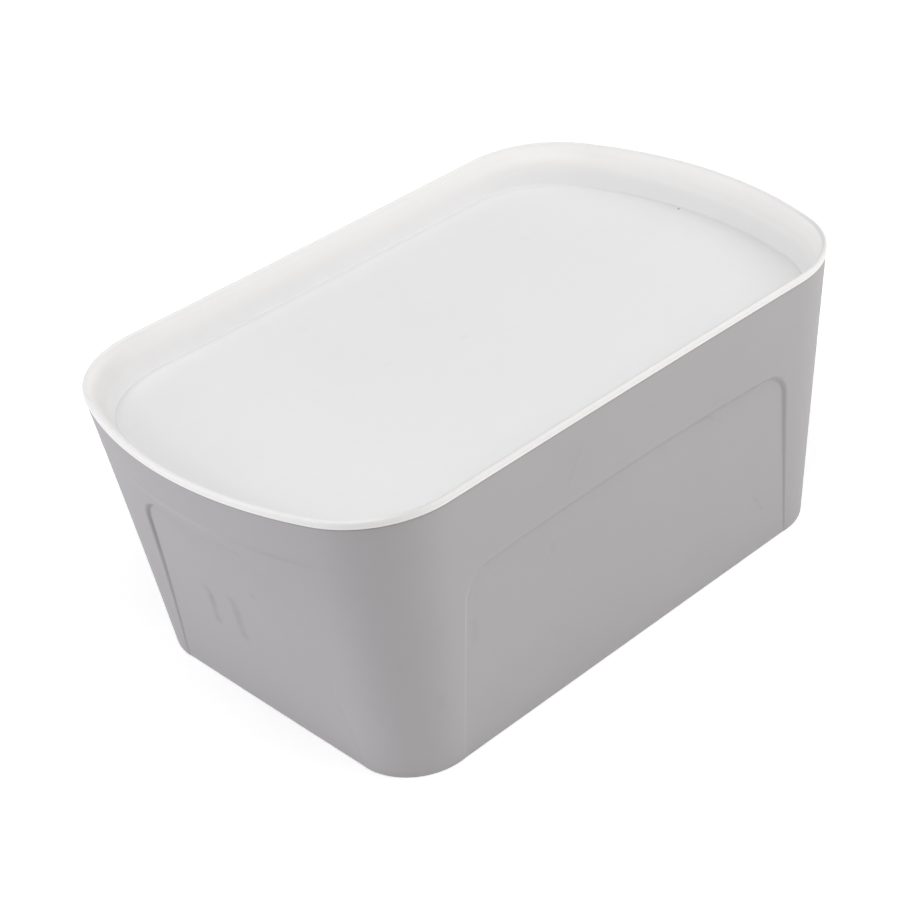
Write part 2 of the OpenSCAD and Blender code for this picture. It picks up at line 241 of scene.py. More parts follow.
class Plan:
    """A plan outline: bowed ends, round corners and sides that draw in a little at the middle."""

    def __init__(self, half_length, half_width, bow, corner, draw):
        self.half_width = half_width
        self.corner = corner
        self.draw = draw
        self.end_radius = (bow ** 2 + half_width ** 2) / (2 * bow)
        self.end_centre = half_length - self.end_radius
        self.corner_y = half_width - corner
        reach = math.sqrt((self.end_radius - corner) ** 2 - self.corner_y ** 2)
        self.corner_x = self.end_centre + reach
        self.corner_start = math.atan2(self.corner_y, reach)
        self.end_reach = self.end_radius * math.sin(self.corner_start)

    def point(self, run, inset):
        """Point at a run of 0 to 1 along half an end, 1 to 2 round a corner, 2 to 3 along half a side."""
        if run <= 1:
            radius = self.end_radius - inset
            y = run * radius * math.sin(self.corner_start)
            return Vector((self.end_centre + math.sqrt(radius ** 2 - y ** 2), y))
        if run < 2:
            angle = self.corner_start + (math.pi / 2 - self.corner_start) * (run - 1)
            radius = self.corner - inset
            return Vector((
                self.corner_x + radius * math.cos(angle),
                self.corner_y + radius * math.sin(angle),
            ))
        along = 3 - run
        y = self.half_width - inset - self.draw * (1 - along ** 2)
        return Vector((along * self.corner_x, y))


def rim_plan(plan):
    """Outline of the lid's edge."""
    return Plan(RIM_HALF_LENGTH, RIM_HALF_WIDTH, plan.rim_bow, plan.rim_corner, plan.side_draw)


def base_plan(plan):
    """Outline of the tub's base, whose sides are straight."""
    half_length = RIM_HALF_LENGTH - plan.end_lean
    half_width = RIM_HALF_WIDTH - plan.side_lean
    return Plan(half_length, half_width, plan.base_bow, plan.base_corner, draw=0)


def mix(a, b, amount):
    """Mix of two values or points."""
    return a * (1 - amount) + b * amount


def smooth_step(value, low, high):
    """0 below low, 1 above high and a smooth rise between."""
    t = min(1, max(0, (value - low) / (high - low)))
    return t * t * (3 - 2 * t)


def edge_round(distance, radius):
    """How far a rounded edge draws in at a distance from the edge's own plane."""
    if distance >= radius:
        return 0.0
    return radius - math.sqrt(max(0.0, radius ** 2 - (radius - distance) ** 2))


def round_rows(radius, steps):
    """Distances from the edge's plane of the rows that turn it evenly."""
    return [radius * (1 - math.cos(math.pi / 2 * i / steps)) for i in range(1, steps + 1)]


# ---------------------------------------------------------------- meshes


def boundary(bm):
    """Edges at the open borders of a mesh."""
    return [edge for edge in bm.edges if edge.is_boundary]


def border_at(bm, axis, level):
    """Open edges that lie at a level along an axis, which is 0, 1 or 2 for X, Y or Z."""
    return [e for e in boundary(bm) if all(abs(vert.co[axis] - level) < MERGE for vert in e.verts)]


def join_mirrored(target, quarter, across_y):
    """Adds a quarter and its mirror image across X to target, on the +Y or the -Y side."""
    mesh = bpy.data.meshes.new("quarter")
    quarter.to_mesh(mesh)
    quarter.free()
    if across_y:
        mesh.transform(Matrix.Diagonal((1, -1, 1, 1)))
    target.from_mesh(mesh)
    mesh.transform(Matrix.Diagonal((-1, 1, 1, 1)))
    target.from_mesh(mesh)
    bpy.data.meshes.remove(mesh)


def finish_piece(bm, name, body, node, material):
    """Turns a closed mesh into a piece that rides on a body and stands for a node."""
    bmesh.ops.recalc_face_normals(bm, faces=bm.faces[:])
    if boundary(bm):
        raise RuntimeError(name + " is not closed")
    mesh = bpy.data.meshes.new(name)
    bm.to_mesh(mesh)
    bm.free()
    mesh.shade_smooth()
    mesh.set_sharp_from_angle(angle=math.radians(SHARP_ANGLE))
    mesh.materials.append(material)
    piece = bpy.data.objects.new(name, mesh)
    bpy.context.scene.collection.objects.link(piece)
    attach(piece, body)
    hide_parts(node)


# ---------------------------------------------------------------- tub

# Runs round the plan: the middle of a corner, and where the ledge's bead starts to fade and is gone.
MID_CORNER = 1.5
BEAD_FADE = (0.9, 1.3)
# Height in the flat pattern of each row of faces below the wall's foot, before it goes to its place.
SKIRT = 0.001
# The sizes that end and side panels both have. Their properties start with "end_" and with "side_".
PanelForm = namedtuple("PanelForm", "depth step skew arch top margin taper bend corner")


class Sheet:
    """Flat pattern of a quarter of the tub's wall: run along X, height along Y, recess along -Z."""

    def __init__(self, plan):
        self.lower = base_plan(plan)
        self.upper = rim_plan(plan)
        self.overhang = plan.overhang
        self.widths = [
            (self.lower.end_reach + self.upper.end_reach) / 2,
            (self.lower.corner + self.upper.corner) * math.pi / 4,
            (self.lower.corner_x + self.upper.corner_x) / 2,
        ]
        self.counts = [plan.end_columns, plan.corner_columns, plan.side_columns]
        self.width = sum(self.widths)

    def columns(self):
        """Places along X where the pattern is cut."""
        places = []
        start = 0.0
        for width, count in zip(self.widths, self.counts):
            places += [start + width * i / count for i in range(1, count + 1)]
            start += width
        return places[:-1]

    def run(self, x):
        """Run round the plan of a place along X."""
        last = len(self.widths) - 1
        for region, width in enumerate(self.widths):
            if x <= width or region == last:
                return region + min(1.0, x / width)
            x -= width

    def from_end(self, across, z):
        """Place along X of a point of the end wall, across from the box's long axis."""
        reach = mix(self.lower.end_reach, self.upper.end_reach, z / TUB_HEIGHT)
        return self.widths[0] * across / reach

    def from_side(self, across, z):
        """Place along X of a point of the side wall, across from the box's short axis."""
        reach = mix(self.lower.corner_x, self.upper.corner_x, z / TUB_HEIGHT)
        return self.width - self.widths[2] * across / reach

    def place(self, x, z, inset):
        """Point of the tapered wall."""
        run = self.run(x)
        lower = self.lower.point(run, inset)
        upper = self.upper.point(run, inset + self.overhang)
        point = mix(lower, upper, z / TUB_HEIGHT)
        return Vector((point.x, point.y, z))


def panel_form(panel, wall):
    """Sizes of the panels in the "end" walls or in the "side" walls."""
    return PanelForm(*[getattr(panel, wall + "_" + size) for size in PanelForm._fields])


def panel_outline(panel, form, reach, foot):
    """Points (across, height) of half a panel's edge, from its foot to the middle of its top."""
    grow = form.step / 2 + panel.support
    half = reach - form.margin
    outer_top = form.top + grow
    turn = form.corner + grow

    def side(z):
        return half + grow - form.taper * (max(z, 0) / form.top) ** form.bend

    corner_level = outer_top - turn
    points = []
    for i in range(panel.rises):
        z = mix(foot, corner_level, i / panel.rises)
        points.append((side(z), z))
    for i in range(panel.corner_turns + 1):
        angle = math.pi / 2 * i / panel.corner_turns
        z = corner_level + turn * math.sin(angle)
        points.append((side(z) - turn * (1 - math.cos(angle)), z))
    end = points[-1][0]
    for i in range(1, panel.arch_turns + 1):
        done = i / panel.arch_turns
        points.append((end * (1 - done), outer_top + form.arch * (1 - (1 - done) ** 2)))
    return points


def notch_outline(sheet, tub):
    """Flat points of half the notch, from the middle of its sill up to the tub's edge."""
    half = tub.outlet_width / 2
    points = [(0.0, tub.outlet_sill)]
    for i in range(tub.outlet_turns + 1):
        angle = math.pi / 2 * i / tub.outlet_turns
        across = half - tub.outlet_corner * (1 - math.sin(angle))
        points.append((across, tub.outlet_sill + tub.outlet_corner * (1 - math.cos(angle))))
    points.append((half, TUB_HEIGHT))
    return [(sheet.from_side(across, z), z) for across, z in points]


def flat_pattern(sheet, tub, panel, foot, notched):
    """Flat pattern from foot to the tub's edge, with both half panels sunk by the width of their step."""
    bm = bmesh.new()

    def points(places):
        return [bm.verts.new((x, z, 0)) for x, z in places]

    end, side = panel_form(panel, "end"), panel_form(panel, "side")
    end_outline = panel_outline(panel, end, sheet.lower.end_reach, foot)
    side_outline = panel_outline(panel, side, sheet.lower.corner_x, foot)
    end_edge = points([(sheet.from_end(across, z), z) for across, z in end_outline])
    side_edge = points([(sheet.from_side(across, z), z) for across, z in side_outline])
    foot_corners = points([(0, foot), (sheet.width, foot)])
    top = points(notch_outline(sheet, tub) if notched else [(sheet.width, TUB_HEIGHT)])
    top += points([(0, TUB_HEIGHT)])
    end_panel = bm.faces.new([foot_corners[0]] + end_edge)
    side_panel = bm.faces.new([foot_corners[1]] + side_edge[::-1])
    bm.faces.new(side_edge + top + end_edge[::-1])

    border = (panel.support, 0.0)
    for face, form in ((end_panel, end), (side_panel, side)):
        loop = form.step / panel.step_loops
        for thickness, drop in [border] + [(loop, loop)] * panel.step_loops + [border]:
            bmesh.ops.inset_region(
                bm, faces=[face], thickness=thickness, depth=-drop,
                use_boundary=False, use_even_offset=True,
            )
    for vert in bm.verts:
        if abs(vert.co.y - foot) < panel.support:
            vert.co.y = foot
        if vert.co.x < panel.support:
            vert.co.x = 0.0
        if vert.co.x > sheet.width - panel.support:
            vert.co.x = sheet.width
    return bm


def add_skirt(bm, foot, count):
    """Adds rows of faces below the pattern's foot, for what turns in under the wall."""
    edges = border_at(bm, 1, foot)
    for i in range(1, count + 1):
        grown = bmesh.ops.extrude_edge_only(bm, edges=edges)["geom"]
        edges = [item for item in grown if isinstance(item, bmesh.types.BMEdge)]
        for vert in [item for item in grown if isinstance(item, bmesh.types.BMVert)]:
            vert.co.y = foot - SKIRT * i
            vert.co.z = 0.0


def wall_rows(tub, low_rows):
    """Heights at which the wall is cut into rows of faces, closer together where it turns."""
    ledge = tub.ledge_height
    pitch = tub.ledge_bead_width / 2
    rows = low_rows + [TUB_HEIGHT - row for row in round_rows(tub.rim_edge, tub.rim_edge_rows)]
    rows += [ledge + pitch * k for k in range(-tub.bead_rows, tub.bead_rows + 1)]
    rows += [ledge + tub.wall - tub.mouth_wall]
    first, last = low_rows[-1], ledge - pitch * (tub.bead_rows + 1)
    plain = int((ledge - first) / tub.row_pitch)
    return rows + [mix(first, last, i / plain) for i in range(1, plain)]


def cut(bm, place, normal):
    """Cuts the flat pattern along a straight line."""
    bmesh.ops.bisect_plane(
        bm, geom=bm.verts[:] + bm.edges[:] + bm.faces[:], dist=MERGE, plane_co=place, plane_no=normal
    )


def wall_inset(tub, run, foot, outside, z):
    """How far inside the plan the outer or the inner face lies, apart from the panels."""
    if outside:
        bead = tub.ledge_bead * math.exp(-((z - tub.ledge_height) / tub.ledge_bead_width) ** 2)
        bead *= 1 - smooth_step(run, *BEAD_FADE)
        return edge_round(z, tub.base_edge) + edge_round(TUB_HEIGHT - z, tub.rim_edge) - bead
    past_ledge = min(1, max(0, (z - tub.ledge_height) / (tub.wall - tub.mouth_wall)))
    wall = mix(tub.wall, tub.mouth_wall, past_ledge)
    return wall + edge_round(z - foot, tub.floor_fillet) - edge_round(TUB_HEIGHT - z, tub.rim_edge)


def panel_recess(panel, form, z, sunk):
    """How far a panel is set back at a height, from how far the flat pattern is sunk there."""
    height = min(1, z / form.top)
    half_step = mix(panel.foot_step, form.step, height) / 2
    done = smooth_step(sunk, form.step / 2 - half_step, form.step / 2 + half_step) ** form.skew
    return done * mix(panel.foot_depth, form.depth, height)


def wall_quarter(plan, tub, panel, outside, notched):
    """A quarter of the tub's outer or inner face, from the floor to the tub's edge."""
    sheet = Sheet(plan)
    end, side = panel_form(panel, "end"), panel_form(panel, "side")
    foot = 0.0 if outside else tub.floor_height
    bm = flat_pattern(sheet, tub, panel, foot, notched)
    if outside:
        # Height and inset of the standing ring's two inner corners, and of the underside inside it.
        knots = [
            (0.0, tub.foot_width),
            (tub.foot_height, tub.foot_width + tub.foot_draft),
            (tub.foot_height, 2 * tub.foot_width),
        ]
        low_rows = round_rows(tub.base_edge, tub.base_edge_rows)
    else:
        knots = [(tub.floor_height, tub.wall + 2 * tub.floor_fillet)]
        low_rows = [foot + row for row in round_rows(tub.floor_fillet, tub.fillet_rows)]
    add_skirt(bm, foot, len(knots))
    for row in wall_rows(tub, low_rows):
        cut(bm, (0, row, 0), (0, 1, 0))
    for column in sheet.columns():
        cut(bm, (column, 0, 0), (1, 0, 0))

    step_done = bm.verts.layers.float.new("panel_step")
    for vert in bm.verts:
        x, z, sunk = vert.co[0], vert.co[1], -vert.co[2]
        run = sheet.run(x)
        form = end if run < MID_CORNER else side
        vert[step_done] = sunk / form.step if outside else 0.0
        if z < foot - SKIRT / 2:
            z, inset = knots[round((foot - z) / SKIRT) - 1]
        else:
            inset = wall_inset(tub, run, foot, outside, z) + panel_recess(panel, form, z, sunk)
        vert.co = sheet.place(x, z, inset)
    return bm


class CABLEBOX_OT_tub(bpy.types.Operator):
    """Build the grey tub with its recessed panels, ledge, standing ring and cable notch"""

    bl_idname = "cablebox.tub"
    bl_label = "Tub"

    def execute(self, context):
        scene = context.scene
        plan, tub, panel = scene.box_plan, scene.box_tub, scene.box_panel
        bm = bmesh.new()
        for outside in (True, False):
            for notched in (True, False):
                quarter = wall_quarter(plan, tub, panel, outside, notched)
                join_mirrored(bm, quarter, across_y=not notched)
        bmesh.ops.remove_doubles(bm, verts=bm.verts[:], dist=MERGE)
        for level in (tub.foot_height, tub.floor_height):
            bmesh.ops.edgeloop_fill(bm, edges=border_at(bm, 2, level))
        bmesh.ops.bridge_loops(bm, edges=boundary(bm))
        finish_piece(bm, "tub_shell", "tub", "tub", tub_plastic(scene.box_finish))
        return {"FINISHED"}


# ---------------------------------------------------------------- lid

# Zones of the lid's section, kept on the mesh as "section" for its finish: the underside, the outer
# edge from its foot to where the crest starts, the top of the crest, the lip inside it, the foot of
# the tray's wall, the end of the fillet and the tray's floor.
UNDERSIDE, BAND, RIM, CREST, LIP, WALL_FOOT, FILLET, FLOOR = 0.0, 0.2, 0.3, 0.4, 0.5, 0.8, 0.9, 1.0
# Rows of the parting groove: shares of its width from its middle, and of its depth.
GROOVE = ((-1 / 2, 0), (-1 / 6, 1), (1 / 6, 1), (1 / 2, 0))


def lid_rows(lid):
    """Rows of the lid's section: height, share of the way from the rim's outline to the tray's, the
    inset of each outline, and the zone."""
    rows = []
    crest = lid.crest / 2
    under = lid.tray_depth + lid.wall

    def level(z, inset, zone):
        rows.append((z, 0.0, inset, 0.0, zone))

    def tray(depth, inset, zone):
        upper = lid.flare_share / (lid.flare_depth - crest)
        lower = (1 - lid.flare_share) / (lid.tray_depth - lid.flare_depth)
        below = depth - lid.flare_depth
        turn = max(0, lid.flare_blend - abs(below)) ** 2 / (4 * lid.flare_blend)
        done = lid.flare_share + (upper if below < 0 else lower) * below + (lower - upper) * turn
        rows.append((BOX_HEIGHT - depth, done, lid.crest + inset, inset, zone))

    def fillet(depth, radius, inset, angle, zone):
        tray(depth - radius * (1 - math.cos(angle)), radius * (1 - math.sin(angle)) + inset, zone)

    def wall_zone(depth):
        return mix(LIP, WALL_FOOT, (depth - crest) / (lid.tray_depth - lid.tray_fillet - crest))

    turns = [math.pi / 2 * i / lid.turns for i in range(lid.turns + 1)]
    half_blend = range(-lid.blend_rows, lid.blend_rows + 1)
    blend = [lid.flare_depth + lid.flare_blend * k / lid.blend_rows for k in half_blend]

    tray(under, lid.floor_border, UNDERSIDE)
    for angle in turns:
        fillet(under, lid.tray_fillet + lid.wall, -lid.wall, angle, UNDERSIDE)
    for depth in reversed(blend):
        tray(depth, -lid.wall, UNDERSIDE)
    level(TUB_HEIGHT, lid.neck, UNDERSIDE)

    for angle in turns:
        rise, inset = lid.edge_radius * (1 - math.cos(angle)), lid.edge_radius * (1 - math.sin(angle))
        level(TUB_HEIGHT + rise, inset, mix(UNDERSIDE, BAND, math.sin(angle)))
    for across, depth in GROOVE:
        level(TUB_HEIGHT + lid.parting + lid.parting_width * across, lid.parting_depth * depth, BAND)
    for angle in turns:
        z = BOX_HEIGHT - crest * (1 - math.sin(angle))
        level(z, crest * (1 - math.cos(angle)), mix(RIM, CREST, math.sin(angle)))
    for angle in turns[-2:0:-1]:
        z = BOX_HEIGHT - crest * (1 - math.sin(angle))
        level(z, crest * (1 + math.cos(angle)), mix(LIP, CREST, math.sin(angle)))

    tray(crest, 0, LIP)
    for depth in blend + [mix(blend[-1], lid.tray_depth, 0.5)]:
        tray(depth, 0, wall_zone(depth))
    for angle in reversed(turns):
        fillet(lid.tray_depth, lid.tray_fillet, 0, angle, mix(FILLET, WALL_FOOT, math.sin(angle)))
    tray(lid.tray_depth, lid.floor_border, FLOOR)
    return rows


class CABLEBOX_OT_lid(bpy.types.Operator):
    """Build the white lid, a tray with a crested rim that rests on the tub's edge"""

    bl_idname = "cablebox.lid"
    bl_label = "Lid"

    def execute(self, context):
        scene = context.scene
        plan, lid = scene.box_plan, scene.box_lid
        rim = rim_plan(plan)
        tray = Plan(lid.tray_end, lid.tray_side, lid.tray_bow, lid.tray_corner, plan.side_draw)
        runs = [i / plan.end_columns for i in range(plan.end_columns)]
        runs += [1 + i / plan.corner_columns for i in range(plan.corner_columns)]
        runs += [2 + i / plan.side_columns for i in range(plan.side_columns + 1)]
        rows = lid_rows(lid)
        across, up = len(runs) - 1, len(rows) - 1
        quarter = bmesh.new()
        bmesh.ops.create_grid(quarter, x_segments=across, y_segments=up, size=0.5)
        section = quarter.verts.layers.float.new("section")
        for vert in quarter.verts:
            run = runs[round((vert.co.x + 0.5) * across)]
            z, done, rim_inset, tray_inset, vert[section] = rows[round((vert.co.y + 0.5) * up)]
            point = mix(rim.point(run, rim_inset), tray.point(run, tray_inset), done)
            vert.co = (point.x, point.y, z)
        bm = bmesh.new()
        copy = quarter.copy()
        join_mirrored(bm, quarter, across_y=False)
        join_mirrored(bm, copy, across_y=True)
        bmesh.ops.remove_doubles(bm, verts=bm.verts[:], dist=MERGE)
        floor = BOX_HEIGHT - lid.tray_depth
        for level in (floor, floor - lid.wall):
            bmesh.ops.edgeloop_fill(bm, edges=border_at(bm, 2, level))
        finish_piece(bm, "lid_tray", "lid", "lid", lid_plastic(scene.box_finish, tray))
        return {"FINISHED"}


# ---------------------------------------------------------------- finishes

# The mean of a noise, where it adds nothing to what it is part of.
NOISE_MEAN = 0.5
# A mark's uneven wear: the size of its noise in reaches of the mark, and the noise from bare to full.
MARK_NOISE = 3
MARK_WEAR = (0.05, 0.5)


class Finish:
    """A material in the making: its shader, its Object coordinates and short ways to wire nodes."""

    def __init__(self, name):
        self.material = bpy.data.materials.new(name)
        self.material.use_nodes = True
        self.nodes = self.material.node_tree.nodes
        self.links = self.material.node_tree.links
        self.shader = self.nodes["Principled BSDF"]
        self.place = self.nodes.new("ShaderNodeTexCoord").outputs["Object"]
        axes = self.nodes.new("ShaderNodeSeparateXYZ")
        self.wire(self.place, axes.inputs[0])
        self.x, self.y, self.z = axes.outputs

    def wire(self, value, socket):
        """Links a socket to another one, or sets it to a value."""
        if isinstance(value, bpy.types.NodeSocket):
            self.links.new(value, socket)
        else:
            socket.default_value = value

    def node(self, kind, inputs, **settings):
        """Adds a node with its settings and its inputs, by name or number."""
        node = self.nodes.new(kind)
        for name, value in settings.items():
            setattr(node, name, value)
        for name, value in inputs.items():
            self.wire(value, node.inputs[name])
        return node

    def math(self, operation, a, b=0.0, clamp=False):
        """One step of arithmetic."""
        return self.node("ShaderNodeMath", {0: a, 1: b}, operation=operation, use_clamp=clamp).outputs[0]

    def vector(self, operation, a, b=(0, 0, 0)):
        """One step of vector arithmetic."""
        node = self.node("ShaderNodeVectorMath", {0: a, 1: b}, operation=operation)
        return node.outputs["Value" if operation in {"DOT_PRODUCT", "LENGTH"} else "Vector"]

    def scaled(self, vector, factor):
        """A vector or colour times a factor."""
        return self.node("ShaderNodeVectorMath", {0: vector, "Scale": factor}, operation="SCALE").outputs[0]

    def product(self, first, *factors):
        """Product of several values."""
        for factor in factors:
            first = self.math("MULTIPLY", first, factor)
        return first

    def total(self, first, noises, masks=()):
        """Sum of a value and of noises and masks, each in a pair with its weight."""
        centred = [(self.math("SUBTRACT", noise, NOISE_MEAN), weight) for noise, weight in noises]
        for pattern, weight in (*centred, *masks):
            first = self.math("ADD", self.math("MULTIPLY", pattern, weight), first)
        return first

    def spread(self, value, low, high):
        """Smooth rise from 0 at low to 1 at high, which may lie below low."""
        inputs = {"Value": value, "From Min": low, "From Max": high}
        return self.node("ShaderNodeMapRange", inputs, interpolation_type="SMOOTHSTEP").outputs[0]

    def within(self, value, places):
        """Smooth rise from the first place to the second and, where there are more, fall to the last."""
        rise = self.spread(value, places[0], places[1])
        if len(places) == 2:
            return rise
        return self.product(rise, self.spread(value, places[-1], places[-2]))

    def patches(self, table, values):
        """What a table of patches adds to the level and to the roughness, as masks with their weights."""
        tones, dulls = [], []
        for name, (tone, dull, where) in table.items():
            bounds = [self.within(values[value], places) for value, places in where.items()]
            mask = self.product(*bounds)
            mask.node.label = name
            tones.append((mask, tone))
            if dull:
                dulls.append((mask, dull))
        return tones, dulls

    def noise(self, size, detail=2.0):
        """Soft noise of about 0.5 with features of a size."""
        inputs = {"Vector": self.place, "Scale": 1 / size, "Detail": detail, "Roughness": 0.5}
        return self.node("ShaderNodeTexNoise", inputs).outputs[0]

    def pigment(self, finish):
        """The broad, the small and the fine unevenness of a plastic."""
        return (
            self.noise(finish.cloud_size, detail=3),
            self.noise(finish.mottle_size),
            self.noise(finish.grain_size, detail=1),
        )

    def attribute(self, name):
        """A number kept on the mesh."""
        return self.node("ShaderNodeAttribute", {}, attribute_name=name).outputs["Fac"]

    def blend(self, amount, a, b):
        """Mix of two colours."""
        node = self.node("ShaderNodeMix", {0: amount, 6: a, 7: b}, data_type="RGBA")
        return node.outputs[2]

    def ramp(self, value, stops):
        """Colours at places along a value."""
        node = self.node("ShaderNodeValToRGB", {0: value})
        elements = node.color_ramp.elements
        while len(elements) < len(stops):
            elements.new(1.0)
        for element, (place, shade) in zip(elements, stops):
            element.position = place
            element.color = (*shade, 1)
        return node.outputs[0]

    def face(self, across, up):
        """Flat coordinates on a wall or a floor."""
        return self.node("ShaderNodeCombineXYZ", {0: across, 1: up}).outputs[0]

    def streak(self, face, start, end, reach):
        """1 along a straight mark on a face and 0 past its reach."""
        start, end = Vector((*start, 0)), Vector((*end, 0))
        run = end - start
        away = self.vector("SUBTRACT", face, start)
        along = self.vector("DOT_PRODUCT", away, run)
        done = self.math("MULTIPLY", along, 1 / run.length_squared, clamp=True)
        off = self.vector("SUBTRACT", away, self.scaled(run, done))
        return self.spread(self.vector("LENGTH", off), reach, 0.0)

    def marks(self, face, runs, reach):
        """The strongest of several straight marks, uneven along their way."""
        worn = 0.0
        for start, end in runs:
            worn = self.math("MAXIMUM", worn, self.streak(face, start, end, reach))
        return self.product(worn, self.within(self.noise(MARK_NOISE * reach), MARK_WEAR))

    def bump(self, height, depth, normal=None):
        """Normals of a surface that a pattern raises by up to a depth."""
        inputs = {"Height": height, "Distance": depth}
        if normal is not None:
            inputs["Normal"] = normal
        return self.node("ShaderNodeBump", inputs).outputs[0]

    def moulded(self, finish, grain):
        """Normals of a moulded surface, with slight waves under its grain."""
        waves = self.bump(self.noise(finish.wave_size, detail=1), finish.wave_depth)
        return self.bump(grain, finish.grain_depth, waves)

    def set(self, **sockets):
        """Wires the shader's sockets, with spaces for underscores, and returns the material."""
        for name, value in sockets.items():
            self.wire(value, self.shader.inputs[name.replace("_", " ")])
        return self.material


# Patches of a finish, by name: what each adds to the level of the colour and to the roughness, and
# where it lies. Two places along a value are where the patch starts and where it is full, and a third,
# or a third and a fourth, are where it fades out again. "ends" is the distance from the middle of the
# box along X, "step" is 0 to 1 down a panel's step, "mottle" is the small noise of the pigment, and
# "section" is the lid's zone.
BROW = (0.0, 0.1, 0.35)
SHADED_STEP = (0.25, 0.6, 0.97)
END_WALLS = (0.105, 0.12)
WITNESS = dict(z=(0.1032, 0.1054, 0.1076), ends=(0.11, 0.125))
# Apart from the foot's rub, which is wear, these tones of the tub are painted light and shade: a faint
# painted highlight on the outer edge of each panel's step, which is also glossier there, turned to painted
# shade on the end walls; painted shade down the steps of the end panels, stronger higher up; and painted
# shade down the side panels' upright steps towards +X.
TUB_PATCHES = {
    "brow": (0.012, -0.08, dict(step=BROW)),
    "end_brow": (-0.06, 0.0, dict(step=BROW, ends=END_WALLS)),
    "crease": (-0.16, 0.0, dict(step=SHADED_STEP, ends=END_WALLS)),
    "upper_crease": (-0.16, 0.0, dict(step=SHADED_STEP, ends=END_WALLS, z=(0.05, 0.08, 0.1))),
    "far_upright": (-0.12, 0.0, dict(step=SHADED_STEP, x=(0.08, 0.096, 0.112))),
    "foot_rub": (0.06, 0.1, dict(z=(0.0025, 0.0), mottle=(0.4, 0.6))),
    # A painted highlight and a painted shade along the line that the ledge leaves on the ends.
    "witness_highlight": (0.09, 0.0, dict(**WITNESS, y=(-0.028, 0.008, 0.062))),
    "witness_shade": (-0.06, 0.0, dict(**WITNESS, y=(-0.018, -0.047, -0.075))),
}
LOW_WALL = (0.6, 0.7, 0.84, 0.9)
WHOLE_WALL = (0.45, 0.5, 0.87, 0.9)
TRAY_FLOOR = (0.9, 0.912)
LEFT_END = (-0.1, -0.132)
RIGHT_END = (0.1, 0.132)
# The lid's tones are painted light and shade: a painted highlight on the lip inside the crest; painted shade
# on the flare and low wall of the left end, on the low wall and the turn of the right end, and in the rear
# left corner; painted light in the rear right corner, on the crease at the right end and on the floor
# towards the left; and painted shade on the crest at the front left corner, which is also glossier there,
# and on the floor along the rear wall.
LID_PATCHES = {
    "lip": (0.045, 0.0, dict(section=(0.46, 0.505, 0.57))),
    "flare": (-0.14, 0.0, dict(section=(0.5, 0.6, 0.72), x=(-0.09, -0.13))),
    "left_low": (-0.1, 0.0, dict(section=LOW_WALL, x=LEFT_END)),
    "right_low": (-0.07, 0.0, dict(section=LOW_WALL, x=RIGHT_END, y=(0.075, 0.02))),
    "right_turn": (-0.045, 0.0, dict(section=(0.57, 0.615, 0.66), x=RIGHT_END, y=(0.06, 0.02))),
    "left_corner": (-0.055, 0.0, dict(y=(0.072, 0.086), x=(-0.13, -0.108, -0.08), section=WHOLE_WALL)),
    "right_corner": (0.05, 0.0, dict(y=(0.055, 0.075), x=(0.1, 0.12), section=WHOLE_WALL)),
    "far_crease": (0.14, 0.0, dict(section=(0.8, 0.85, 0.91), x=(0.09, 0.13))),
    "front_crest": (-0.16, -0.05, dict(section=(0.28, 0.42, 0.52), x=(-0.13, -0.11), y=(-0.05, -0.075))),
    "rear_shade": (-0.06, 0.0, dict(section=(0.89, 0.905, 0.98), y=(0.06, 0.08))),
    "left_floor": (0.03, 0.0, dict(x=(-0.03, -0.1), section=TRAY_FLOOR)),
}
# Distances from the tray's left wall at which the painted shade on the floor along it starts and is full,
# and its tone.
LEFT_SHADE = (0.018, 0.003)
LEFT_SHADE_TONE = -0.09
# Distances below the tub's edge at which the painted shade in the gap under the lid starts and is full.
GAP_SHADE = (0.0009, 0.0003)
# Colours along the lid's section, with painted light and shade: a painted glow on the outer edge, a crest
# darker than it as painted shade, walls lighter and warmer than the floor as painted light, and a painted
# shade in the crease.
LID_SHADES = (
    (UNDERSIDE, "lid_colour"),
    (0.12, "lid_colour"),
    (BAND, "lit_band_colour"),
    (RIM, "lit_band_colour"),
    (CREST, "shaded_crest_colour"),
    (LIP, "lit_flare_colour"),
    (0.62, "lit_flare_colour"),
    (0.72, "lit_wall_colour"),
    (WALL_FOOT, "lit_wall_colour"),
    (0.83, "crease_shade_colour"),
    (0.893, "crease_shade_colour"),
    (0.91, "lid_colour"),
    (FLOOR, "lid_colour"),
)

# Straight runs of the marks on the -X end as (across, height), on the -Y side as (along, height) and
# on the tray's floor as (along, across).
END_SCUFFS = (
    ((0.0114, 0.0585), (0.0118, 0.054)),
    ((0.0143, 0.0432), (0.0144, 0.0426)),
    ((-0.0048, 0.0575), (-0.0037, 0.052)),
)
END_RUBS = (
    ((0.0118, 0.0612), (0.0115, 0.0575)),
    ((0.0115, 0.0575), (0.013, 0.05)),
    ((0.013, 0.05), (0.0142, 0.0438)),
    ((-0.0048, 0.0632), (-0.005, 0.0595)),
    ((-0.005, 0.0595), (-0.0031, 0.0495)),
    ((-0.0031, 0.0495), (-0.0026, 0.044)),
)
END_SPOTS = (
    ((-0.0217, 0.0748), (-0.0217, 0.0744)),
)
SIDE_SCRATCHES = (
    ((-0.0303, 0.1118), (-0.0374, 0.0981)),
    ((0.0742, 0.0302), (0.0807, 0.0206)),
    ((0.0445, 0.0868), (0.0475, 0.0839)),
)
SIDE_SMUDGES = (
    ((-0.0868, 0.0632), (-0.0862, 0.055)),
    ((-0.1057, 0.0375), (-0.1049, 0.0339)),
    ((-0.0443, 0.0741), (-0.0443, 0.0721)),
)
FLOOR_SPOTS = (
    ((0.0022, 0.0043), (0.0032, 0.0043)),
    ((0.0782, 0.0453), (0.0792, 0.0453)),
    ((-0.0328, 0.065), (-0.0318, 0.065)),
    ((-0.0312, 0.0135), (-0.0297, 0.0135)),
)
